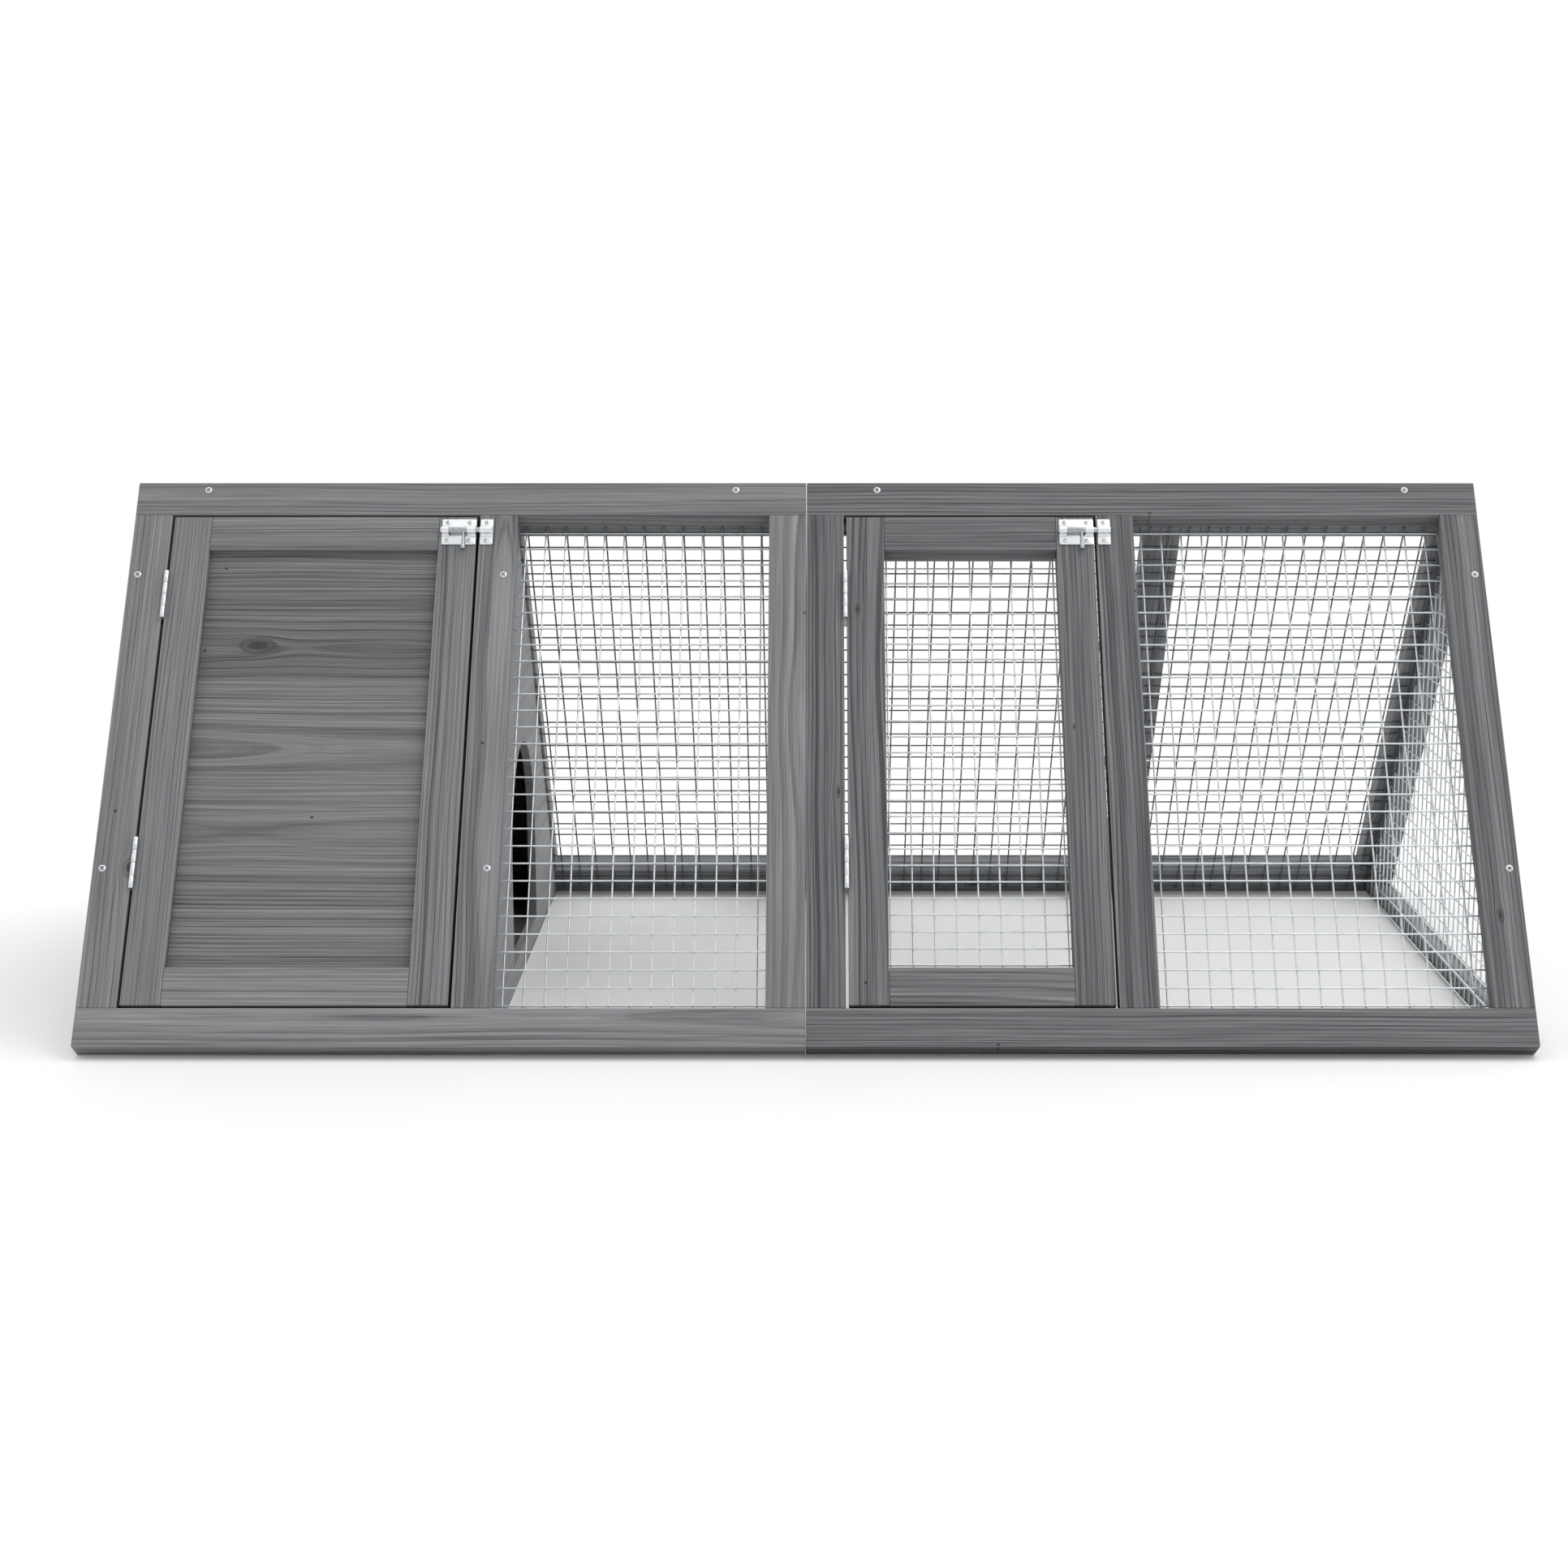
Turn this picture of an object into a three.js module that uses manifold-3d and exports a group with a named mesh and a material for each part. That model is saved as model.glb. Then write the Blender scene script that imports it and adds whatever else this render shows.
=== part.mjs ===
// Rabbit hutch and run: an A-frame of two timber modules standing side by side. The left
// module has a boarded nest behind a solid door; the rest is a wire-meshed, bottomless run
// with a meshed door, reached from the nest through an arched doorway.
// Millimetres. X runs along the ridge, Y from front to back, Z up from the ground.
import * as THREE from 'three';
import Module from 'manifold-3d';
import { mergeVertices } from 'three/addons/utils/BufferGeometryUtils.js';

// Overall sizes
const LENGTH = 1300; // along the ridge, over both modules
const FOOTPRINT = 678; // front to back, over the outer bottom edges
const SLOPE_LENGTH = 580; // up one outer face, from its bottom edge to the ridge

// Timber
const FRAME_T = 22;
const FRAME_W = 36;
const BACK_TOP_W = 50; // the back's top rails are wider than the rest
const ARRIS = 0.8; // planed corners are just taken off
const JOINT = 0.3; // hairline at glued and screwed joints

// Positions along the ridge
const MID_STILE_X = 280; // inner edge of each front mid stile, from the middle
const BACK_STILE_X = 331; // inner edge of the right module's back mid stile

// Doors, which fill one opening each
const DOOR_GAP = 2.8; // all round a door; the hinge leaves stand in it
const PANEL_RECESS = 8; // boarded panels lie back from the face
const PANEL_T = 10;

// Nest
const PARTITION_T = 8;
const END_BOARD_T = 18;
const DOORWAY_W = 210;
const DOORWAY_SILL = 24; // height of the doorway's threshold
const DOORWAY_SPRING = 121; // height at which its round head starts
const FLOOR_BOTTOM = 8;
const FLOOR_T = 12;

// Wire mesh, as a coarse grid of bars: every third upright wire and every fourth row
const MESH_T = 3; // two crossing layers of wire
const MESH_CELL_X = 57.3;
const MESH_CELL_Y = 70;
const MESH_BAR = 2;
const MESH_LAP = 14; // laps this far behind a frame
const MESH_BOTTOM = 8; // covers the bottom rail's inner face

// Triangular frame of battens closing the run's right end
const BATTEN_W = 16;
const BATTEN_DEPTH = 22;

// Butt hinges, two to a door
const HINGE_LENGTH = 51;
const HINGE_HEIGHTS = [175.5, 454.5]; // up the slope
const KNUCKLES = 4;
const KNUCKLE_R = 2.4;
const KNUCKLE_GAP = 0.3;
const PIN_R = 1.2;
const PIN_CLEARANCE = 0.1;
const KNUCKLE_LIFT = 0.2; // knuckles clear the timber's face by this
const PIN_UP = KNUCKLE_R + KNUCKLE_LIFT; // pin's centre above the timber's face
const LEAF_PLAY = 0.2; // from each leaf to the middle of the gap
const LEAF_T = DOOR_GAP / 2 - JOINT - LEAF_PLAY; // two leaves fill the gap round a door
const LEAF_DEPTH = 16;

// Barrel bolts, one to a door
const BOLT_DROP = 56.1; // rod's centre below the ridge, down the slope
const PLATE_L = 33;
const PLATE_H = 28;
const PLATE_T = 1.2;
const KEEPER_L = 12.2;
const KEEPER_GAP = DOOR_GAP + 1.2; // from the bolt's plate, over the gap and onto the stile
const ROD_R = 3;
const ROD_CLEARANCE = 0.08;
const STRAP_T = 0.67;
const STRAP_R = ROD_R + ROD_CLEARANCE + STRAP_T;
const HINGE_STRAP_W = 7;
const LATCH_STRAP_W = 8;
const STRAP_LIFT = 0.45; // straps clear the underside of their plate by this
const ROD_UP = JOINT + STRAP_LIFT + STRAP_R; // rod's centre above the timber's face
const ROD_BACK = 1.3; // rod shows past the plate's hinge end
const KEEPER_COVER = 1.6; // and stops this far inside the keeper's far end
const ROD_SHOT = KEEPER_GAP + KEEPER_L - KEEPER_COVER;
const KNOB_FROM_EDGE = 11.7;
const KNOB_NECK_R = 1.7;
const KNOB_R = 2.4;
const KNOB_DROP = 20.7;

const MODULE_L = LENGTH / 2;
const TILT = Math.acos(FOOTPRINT / 2 / SLOPE_LENGTH); // of both sides, from level
const INNER_FOOT = FOOTPRINT / 2 - FRAME_T * Math.sin(TILT); // inner faces' reach at the ground
const OPENING_BOTTOM = FRAME_W;
const OPENING_TOP = SLOPE_LENGTH - FRAME_W;

const X = new THREE.Vector3(1, 0, 0);
const Y = new THREE.Vector3(0, 1, 0);
const Z = new THREE.Vector3(0, 0, 1);
const ALONG = {
  x: new THREE.Matrix4().makeBasis(Y, Z, X),
  y: new THREE.Matrix4().makeBasis(Z, X, Y),
};

const wasm = await Module();
wasm.setup();

const wood = (name, color) =>
  new THREE.MeshStandardMaterial({ name, color, roughness: 0.8, metalness: 0 });
const metal = (name, color) =>
  new THREE.MeshStandardMaterial({ name, color, roughness: 0.35, metalness: 1 });
const MATERIALS = {
  frame: () => wood('stained_frame_timber', 0x7d7e80),
  board: () => wood('stained_boards', 0x74767a),
  floor: () => wood('nest_floor_timber', 0x55504a),
  mesh: () => metal('galvanised_mesh', 0xb4b8ba),
  hinge: () => metal('zinc_plated_hinge', 0xc9cdd1),
  bolt: () => metal('zinc_plated_bolt', 0xd2d5d8),
};

const hutch = new THREE.Group();
hutch.name = 'rabbit_hutch';

function add(group, name, geometry, kind, x = 0, y = 0, z = 0) {
  const mesh = new THREE.Mesh(geometry, MATERIALS[kind]());
  mesh.name = name;
  mesh.position.set(x, y, z);
  group.add(mesh);
}

// A prism of a flat outline, centred on its own length. Along x the outline lies in y and z,
// along y it lies in z and x.
function prism(outline, length, axis) {
  const shape = outline instanceof THREE.Shape
    ? outline
    : new THREE.Shape(outline.map(([u, v]) => new THREE.Vector2(u, v)));
  return new THREE.ExtrudeGeometry(shape, { depth: length, bevelEnabled: false, curveSegments: 24 })
    .translate(0, 0, -length / 2)
    .applyMatrix4(ALONG[axis]);
}

// A planed board with its four long corners taken off.
function timber(length, a, b, axis) {
  const [p, q, c] = [a / 2, b / 2, ARRIS];
  return prism([
    [-p + c, -q], [p - c, -q], [p, -q + c], [p, q - c],
    [p - c, q], [-p + c, q], [-p, q - c], [-p, -q + c],
  ], length, axis);
}

// Boards of a sloping side: x along the ridge, y up the slope, z out of the face. Timber
// fills z from -FRAME_T to 0. A board that reaches the ridge is sawn to meet the other side.
function sawn(side, name, geometry, kind, x, y, z) {
  const towardsFoot = [0, -Math.cos(TILT), Math.sin(TILT)];
  const board = toSolid(geometry).translate([x, y - SLOPE_LENGTH, z]).trimByPlane(towardsFoot, JOINT);
  add(side, name, toGeometry(board), kind, 0, SLOPE_LENGTH, 0);
}

function rail(side, name, x0, x1, y0, y1) {
  sawn(side, name, timber(x1 - x0, y1 - y0, FRAME_T, 'x'), 'frame',
    (x0 + x1) / 2, (y0 + y1) / 2, -FRAME_T / 2);
}

function stile(side, name, x0, x1, y0, y1) {
  sawn(side, name, timber(y1 - y0, FRAME_T, x1 - x0, 'y'), 'frame',
    (x0 + x1) / 2, (y0 + y1) / 2, -FRAME_T / 2);
}

// Top rail. Of its corners only the outer lower one is taken off.
function ridgeRail(side, name, x0, x1, width) {
  const outline = [[-width, -FRAME_T], [0, -FRAME_T], [0, 0], [ARRIS - width, 0], [-width, -ARRIS]];
  sawn(side, name, prism(outline, x1 - x0, 'x'), 'frame', (x0 + x1) / 2, SLOPE_LENGTH, 0);
}

// One module of one side. The stiles are given by their left edges.
function moduleFrame(side, prefix, x0, x1, stiles, topWidth) {
  ridgeRail(side, `${prefix}_top_rail`, x0, x1, topWidth);
  rail(side, `${prefix}_bottom_rail`, x0, x1, 0, FRAME_W);
  const [y0, y1] = [FRAME_W + JOINT, SLOPE_LENGTH - topWidth - JOINT];
  for (const [name, x] of Object.entries(stiles)) {
    stile(side, `${prefix}_${name}_stile`, Math.max(x, x0), Math.min(x + FRAME_W, x1), y0, y1);
  }
}

// A boarded panel set into an opening.
function panel(side, name, x0, x1, y0, y1) {
  sawn(side, name, timber(x1 - x0 - 2 * JOINT, y1 - y0 - 2 * JOINT, PANEL_T, 'x'), 'board',
    (x0 + x1) / 2, (y0 + y1) / 2, -PANEL_RECESS - PANEL_T / 2);
}

// ---- Booleans ----

function toSolid(geometry) {
  const bare = new THREE.BufferGeometry().setAttribute('position', geometry.getAttribute('position'));
  bare.setIndex(geometry.getIndex());
  const merged = mergeVertices(bare, 1e-5);
  return new wasm.Manifold(new wasm.Mesh({
    numProp: 3,
    vertProperties: merged.getAttribute('position').array,
    triVerts: new Uint32Array(merged.getIndex().array),
  }));
}

function toGeometry(solid) {
  const { vertProperties, triVerts } = solid.getMesh();
  const geometry = new THREE.BufferGeometry()
    .setAttribute('position', new THREE.BufferAttribute(vertProperties, 3))
    .setIndex(new THREE.BufferAttribute(triVerts, 1))
    .toNonIndexed();
  geometry.computeVertexNormals();
  return geometry;
}

const join = (solids) => solids.reduce((all, next) => all.add(next));

function block([x0, x1], [y0, y1], [z0, z1]) {
  return toSolid(new THREE.BoxGeometry(x1 - x0, y1 - y0, z1 - z0)
    .translate((x0 + x1) / 2, (y0 + y1) / 2, (z0 + z1) / 2));
}

function rod(radius, from, to, axis, segments = 24) {
  const geometry = new THREE.CylinderGeometry(radius, radius, to - from, segments)
    .translate(0, (from + to) / 2, 0);
  return toSolid(axis === 'x' ? geometry.rotateZ(-Math.PI / 2) : geometry);
}

// ---- Wire mesh ----

// Splits a length into equal cells near a wanted size, with bars between them.
function cells(from, to, wanted) {
  const count = Math.round((to - from) / wanted);
  const pitch = (to - from - MESH_BAR) / count;
  return Array.from({ length: count }, (_, i) => [from + MESH_BAR + i * pitch, from + (i + 1) * pitch]);
}

// Wire mesh fastened to a side's inner face.
function wireMesh(side, name, x0, x1, y0, y1) {
  const depth = [0, MESH_T];
  const holes = cells(x0, x1, MESH_CELL_X).flatMap((across) =>
    cells(y0, y1, MESH_CELL_Y).map((up) => block(across, up, [-1, MESH_T + 1])));
  add(side, name, toGeometry(block([x0, x1], [y0, y1], depth).subtract(join(holes))), 'mesh',
    0, 0, -FRAME_T - JOINT - MESH_T);
}

// ---- Hinges ----

// Half of a butt hinge about its pin: the half on the frame (hand -1) keeps the pin, and the
// half on the door (hand 1) turns round it. The knuckles alternate.
function hingeHalf(hand) {
  const pitch = HINGE_LENGTH / KNUCKLES;
  const inner = DOOR_GAP / 2 - JOINT - LEAF_T;
  let half = block(
    hand > 0 ? [inner, inner + LEAF_T] : [-inner - LEAF_T, -inner],
    [-HINGE_LENGTH / 2, HINGE_LENGTH / 2],
    [-LEAF_DEPTH - PIN_UP, 0],
  );
  const own = [];
  for (let k = 0; k < KNUCKLES; k++) {
    const middle = HINGE_LENGTH / 2 - (k + 0.5) * pitch;
    const reach = (pitch + (k % 2 === (hand > 0 ? 1 : 0) ? -KNUCKLE_GAP : KNUCKLE_GAP)) / 2;
    if (k % 2 === (hand > 0 ? 1 : 0)) own.push(rod(KNUCKLE_R, middle - reach, middle + reach, 'y'));
    else half = half.subtract(rod(KNUCKLE_R + JOINT, middle - reach, middle + reach, 'y'));
  }
  half = join([half, ...own]);
  const ends = HINGE_LENGTH / 2;
  return toGeometry(hand > 0
    ? half.subtract(rod(PIN_R + PIN_CLEARANCE, -ends, ends, 'y'))
    : half.add(rod(PIN_R, -ends + KNUCKLE_GAP, ends - KNUCKLE_GAP, 'y')));
}

function hinges(side, prefix, x) {
  HINGE_HEIGHTS.forEach((y, i) => {
    const name = `${prefix}_${i === 0 ? 'lower' : 'upper'}_hinge`;
    add(side, `${name}_frame_leaf`, hingeHalf(-1), 'hinge', x, y, PIN_UP);
    add(side, `${name}_door_leaf`, hingeHalf(1), 'hinge', x, y, PIN_UP);
  });
}

// ---- Barrel bolts ----

// Flat plate with straps standing on it, bored for the rod. x is from the latch end of the
// door's plate.
function strappedPlate([x0, x1], straps) {
  const plate = block([x0, x1], [-PLATE_H / 2, PLATE_H / 2],
    [JOINT - ROD_UP, JOINT + PLATE_T - ROD_UP]);
  return toGeometry(join([plate, ...straps.map(([a, b]) => rod(STRAP_R, a, b, 'x', 32))])
    .subtract(rod(ROD_R + ROD_CLEARANCE, x0 - 1, x1 + 1, 'x', 32)));
}

function boltRod() {
  const at = (solid) => solid.translate([-KNOB_FROM_EDGE, 0, 0]);
  return toGeometry(join([
    rod(ROD_R, -PLATE_L - ROD_BACK, ROD_SHOT, 'x', 32),
    at(rod(KNOB_NECK_R, -KNOB_DROP, 0, 'y')),
    at(rod(KNOB_R, -KNOB_DROP, -KNOB_DROP / 2, 'y')),
  ]));
}

function barrelBolt(side, prefix, doorEdge) {
  const at = [doorEdge - 0.1, SLOPE_LENGTH - BOLT_DROP, ROD_UP];
  const keeper = [KEEPER_GAP, KEEPER_GAP + KEEPER_L];
  const straps = [[-PLATE_L, HINGE_STRAP_W - PLATE_L], [-LATCH_STRAP_W, 0]];
  add(side, `${prefix}_bolt_body`, strappedPlate([-PLATE_L, 0], straps), 'bolt', ...at);
  add(side, `${prefix}_bolt_rod`, boltRod(), 'bolt', ...at);
  add(side, `${prefix}_bolt_keeper`, strappedPlate(keeper, [keeper]), 'bolt', ...at);
}

// ---- Doors ----

// Hinged at its left, bolted at its right. x0 and x1 are the sides of the opening.
function door(side, prefix, x0, x1, fill) {
  const [left, right] = [x0 + DOOR_GAP, x1 - DOOR_GAP];
  const [bottom, top] = [OPENING_BOTTOM + DOOR_GAP, OPENING_TOP - DOOR_GAP];
  stile(side, `${prefix}_hinge_stile`, left, left + FRAME_W, bottom, top);
  stile(side, `${prefix}_latch_stile`, right - FRAME_W, right, bottom, top);
  const [inLeft, inRight] = [left + FRAME_W, right - FRAME_W];
  rail(side, `${prefix}_top_rail`, inLeft + JOINT, inRight - JOINT, top - FRAME_W, top);
  rail(side, `${prefix}_bottom_rail`, inLeft + JOINT, inRight - JOINT, bottom, bottom + FRAME_W);
  if (fill === 'boards') {
    panel(side, `${prefix}_panel`, inLeft, inRight, bottom + FRAME_W, top - FRAME_W);
  } else {
    wireMesh(side, `${prefix}_mesh`, inLeft - MESH_LAP, inRight + MESH_LAP,
      bottom + FRAME_W - MESH_LAP, top - FRAME_W + MESH_LAP);
  }
  hinges(side, prefix, x0 + DOOR_GAP / 2);
  barrelBolt(side, prefix, right);
}

// ---- Front and back ----

function slopingSide(turn) {
  const facing = new THREE.Group();
  facing.rotation.z = turn;
  const side = new THREE.Group();
  side.position.set(0, -FOOTPRINT / 2, FRAME_T * Math.cos(TILT));
  side.rotation.x = TILT;
  facing.add(side);
  hutch.add(facing);
  return side;
}

const OUTER = MODULE_L - FRAME_W; // inner edge of an outer stile, from the middle
const MESH_TOP = SLOPE_LENGTH - (FRAME_T + JOINT + MESH_T) * Math.tan(TILT) - 1;
const END_MESH_X = MODULE_L - BATTEN_DEPTH - JOINT - MESH_T;
const MESH_OUTER = END_MESH_X - JOINT;
const PARTITION_X = -MID_STILE_X - PARTITION_T / 2 - 2.6; // flush behind the mid stiles
const MESH_FROM_PARTITION = PARTITION_X + PARTITION_T / 2 + JOINT;

const front = slopingSide(0);
moduleFrame(front, 'front_left', -MODULE_L, -JOINT,
  { outer: -MODULE_L, mid: -MID_STILE_X - FRAME_W, seam: -FRAME_W }, FRAME_W);
moduleFrame(front, 'front_right', JOINT, MODULE_L,
  { seam: 0, mid: MID_STILE_X, outer: OUTER }, FRAME_W);
wireMesh(front, 'front_left_mesh', MESH_FROM_PARTITION, MESH_LAP - FRAME_W, MESH_BOTTOM, MESH_TOP);
wireMesh(front, 'front_right_mesh', MID_STILE_X + FRAME_W - MESH_LAP, MESH_OUTER,
  MESH_BOTTOM, MESH_TOP);
door(front, 'left_door', -OUTER, -MID_STILE_X - FRAME_W, 'boards');
door(front, 'right_door', FRAME_W, MID_STILE_X, 'mesh');

// The back is turned round, so its own x runs the other way.
const back = slopingSide(Math.PI);
moduleFrame(back, 'back_left', JOINT, MODULE_L,
  { seam: 0, mid: MID_STILE_X, outer: OUTER }, BACK_TOP_W);
moduleFrame(back, 'back_right', -MODULE_L, -JOINT,
  { outer: -MODULE_L, mid: -BACK_STILE_X - FRAME_W, seam: -FRAME_W }, BACK_TOP_W);
panel(back, 'back_left_panel', MID_STILE_X + FRAME_W, OUTER,
  OPENING_BOTTOM, SLOPE_LENGTH - BACK_TOP_W);
const backStileMiddle = -BACK_STILE_X - FRAME_W / 2;
wireMesh(back, 'back_left_mesh', FRAME_W - MESH_LAP, -MESH_FROM_PARTITION, MESH_BOTTOM, MESH_TOP);
wireMesh(back, 'back_right_seam_mesh', backStileMiddle + JOINT, MESH_LAP - FRAME_W,
  MESH_BOTTOM, MESH_TOP);
wireMesh(back, 'back_right_outer_mesh', -MESH_OUTER, backStileMiddle - JOINT,
  MESH_BOTTOM, MESH_TOP);

// ---- Upright boards between the two sides ----

// Half the room between the inner faces at a height, less a clearance square to them.
const halfRoom = (z, clear) => INNER_FOOT - z / Math.tan(TILT) - clear / Math.sin(TILT);
const roomTop = (clear, y = 0) => (INNER_FOOT - y) * Math.tan(TILT) - clear / Math.cos(TILT);
const gable = (clear, z = 0) =>
  [[-halfRoom(z, clear), z], [halfRoom(z, clear), z], [0, roomTop(clear)]];

add(hutch, 'left_end_board', prism(gable(JOINT), END_BOARD_T, 'x'), 'board',
  -MODULE_L + END_BOARD_T / 2);

const partition = new THREE.Shape(gable(JOINT).map(([y, z]) => new THREE.Vector2(y, z)));
partition.holes.push(new THREE.Path()
  .moveTo(-DOORWAY_W / 2, DOORWAY_SPRING)
  .lineTo(-DOORWAY_W / 2, DOORWAY_SILL)
  .lineTo(DOORWAY_W / 2, DOORWAY_SILL)
  .lineTo(DOORWAY_W / 2, DOORWAY_SPRING)
  .absarc(0, DOORWAY_SPRING, DOORWAY_W / 2, 0, Math.PI, false));
add(hutch, 'partition', prism(partition, PARTITION_T, 'x'), 'board', PARTITION_X);

const floorFrom = -MODULE_L + END_BOARD_T + JOINT;
const floorTo = PARTITION_X - PARTITION_T / 2 - JOINT;
const floorEdge = (z) => halfRoom(z, JOINT);
add(hutch, 'nest_floor', prism([
  [-floorEdge(FLOOR_BOTTOM), FLOOR_BOTTOM], [floorEdge(FLOOR_BOTTOM), FLOOR_BOTTOM],
  [floorEdge(FLOOR_BOTTOM + FLOOR_T), FLOOR_BOTTOM + FLOOR_T],
  [-floorEdge(FLOOR_BOTTOM + FLOOR_T), FLOOR_BOTTOM + FLOOR_T],
], floorTo - floorFrom, 'x'), 'floor', (floorFrom + floorTo) / 2);

// Right end: a sill with two rafters standing on it, and mesh on their inner side.
const endX = MODULE_L - BATTEN_DEPTH / 2;
const foot = BATTEN_W + JOINT;
add(hutch, 'right_end_sill', prism([
  [-halfRoom(0, JOINT), 0], [halfRoom(0, JOINT), 0],
  [halfRoom(BATTEN_W, JOINT), BATTEN_W], [-halfRoom(BATTEN_W, JOINT), BATTEN_W],
], BATTEN_DEPTH, 'x'), 'frame', endX);
for (const [name, hand] of [['front', -1], ['back', 1]]) {
  const outline = [
    [halfRoom(foot, JOINT + BATTEN_W), foot], [halfRoom(foot, JOINT), foot],
    [JOINT, roomTop(JOINT, JOINT)], [JOINT, roomTop(JOINT + BATTEN_W, JOINT)],
  ].map(([y, z]) => [hand * y, z]);
  add(hutch, `right_end_${name}_rafter`, prism(outline, BATTEN_DEPTH, 'x'), 'frame', endX);
}

const endOutline = gable(JOINT + MESH_T + JOINT, 3);
const rim = toSolid(prism(gable(JOINT + MESH_T + JOINT + MESH_BAR, 3 + MESH_BAR), 2 * MESH_T, 'x'));
const half = halfRoom(0, 0);
const holes = cells(-half, half, MESH_CELL_X).flatMap((across) =>
  cells(0, roomTop(0), MESH_CELL_Y).map((up) => block([-MESH_T, MESH_T], across, up)));
add(hutch, 'right_end_mesh',
  toGeometry(toSolid(prism(endOutline, MESH_T, 'x')).subtract(join(holes).intersect(rim))),
  'mesh', END_MESH_X + MESH_T / 2);

export default hutch;
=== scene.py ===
"""Rabbit hutch and run: an A-frame of stained softwood, meshed with welded wire."""
import math
import random

import bmesh
import bpy
from mathutils import Matrix, Vector


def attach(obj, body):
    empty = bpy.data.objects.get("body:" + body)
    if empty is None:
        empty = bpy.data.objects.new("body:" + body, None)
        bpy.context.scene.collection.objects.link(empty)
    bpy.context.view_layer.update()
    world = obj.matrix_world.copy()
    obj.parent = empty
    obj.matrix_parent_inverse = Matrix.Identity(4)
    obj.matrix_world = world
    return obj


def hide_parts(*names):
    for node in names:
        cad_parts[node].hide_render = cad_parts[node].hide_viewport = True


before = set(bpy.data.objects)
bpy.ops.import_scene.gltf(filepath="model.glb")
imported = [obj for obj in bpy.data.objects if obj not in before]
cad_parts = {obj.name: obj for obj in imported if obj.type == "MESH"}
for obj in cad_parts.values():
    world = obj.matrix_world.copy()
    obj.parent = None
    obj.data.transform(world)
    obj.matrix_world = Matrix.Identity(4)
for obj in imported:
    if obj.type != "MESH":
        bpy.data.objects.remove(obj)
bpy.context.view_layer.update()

# ---------------------------------------------------------------------------------------
# Front frames, left and right module
# Each is a flat frame of 36 x 22 mm planed softwood: two full-length rails with stiles
# butted between them, screwed through the rails. The top rails are cut to meet the
# back's at the ridge.

MM = 0.001
LENGTH = 1300
FOOTPRINT = 678
SLOPE = 580  # up one outer face
FRAME_T = 22
FRAME_W = 36
JOINT = 0.3
MODULE = LENGTH / 2
MID_STILE_X = 280
TILT = math.acos(FOOTPRINT / 2 / SLOPE)
OPENING = (FRAME_W, SLOPE - FRAME_W)
NO_KNOT = (9999.0, 0.0, 1.0)
KNOT_STRETCH = 2.1
RING_PITCH = 3.9

# A side's own space: x along the ridge, y up the slope, z out of the face, millimetres.
FRONT = (Matrix.Scale(MM, 4)
         @ Matrix.Translation((0, -FOOTPRINT / 2, FRAME_T * math.cos(TILT)))
         @ Matrix.Rotation(TILT, 4, "X"))
BACK = Matrix.Rotation(math.pi, 4, "Z") @ FRONT

draw = random.Random(41)


def linear(code):
    """A colour written as sRGB hex, as the linear values that shaders take."""
    parts = [int(code[i:i + 2], 16) / 255 for i in (1, 3, 5)]
    return tuple(c / 12.92 if c <= 0.04045 else ((c + 0.055) / 1.055) ** 2.4 for c in parts) + (1.0,)


def node(tree, kind, inputs=(), **settings):
    """Adds a shader node. Inputs are values or sockets, by name or in order."""
    made = tree.nodes.new("ShaderNode" + kind)
    for key, value in settings.items():
        setattr(made, key, value)
    pairs = inputs.items() if isinstance(inputs, dict) else enumerate(inputs)
    for key, value in pairs:
        if isinstance(value, bpy.types.NodeSocket):
            tree.links.new(value, made.inputs[key])
        elif value is not None:
            made.inputs[key].default_value = value
    return made


def calc(tree, operation, *values):
    return node(tree, "Math", values, operation=operation).outputs[0]


def spread(tree, value, low, high, to_low=0.0, to_high=1.0):
    """Maps low..high smoothly to to_low..to_high."""
    return node(tree, "MapRange", {"Value": value, "From Min": low, "From Max": high,
                                   "To Min": to_low, "To Max": to_high},
                interpolation_type="SMOOTHSTEP").outputs["Result"]


def blend_colour(tree, amount, a, b):
    made = node(tree, "Mix", {"Factor": amount}, data_type="RGBA")
    for key, value in ((6, a), (7, b)):
        if isinstance(value, bpy.types.NodeSocket):
            tree.links.new(value, made.inputs[key])
        else:
            made.inputs[key].default_value = value
    return made.outputs[2]


def new_material(name):
    """A named material with an empty tree, its shader and its tree."""
    material = bpy.data.materials.new(name)
    material.use_nodes = True
    tree = material.node_tree
    tree.nodes.clear()
    shader = node(tree, "BsdfPrincipled")
    node(tree, "OutputMaterial", {"Surface": shader.outputs[0]})
    return material, tree, shader


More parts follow.
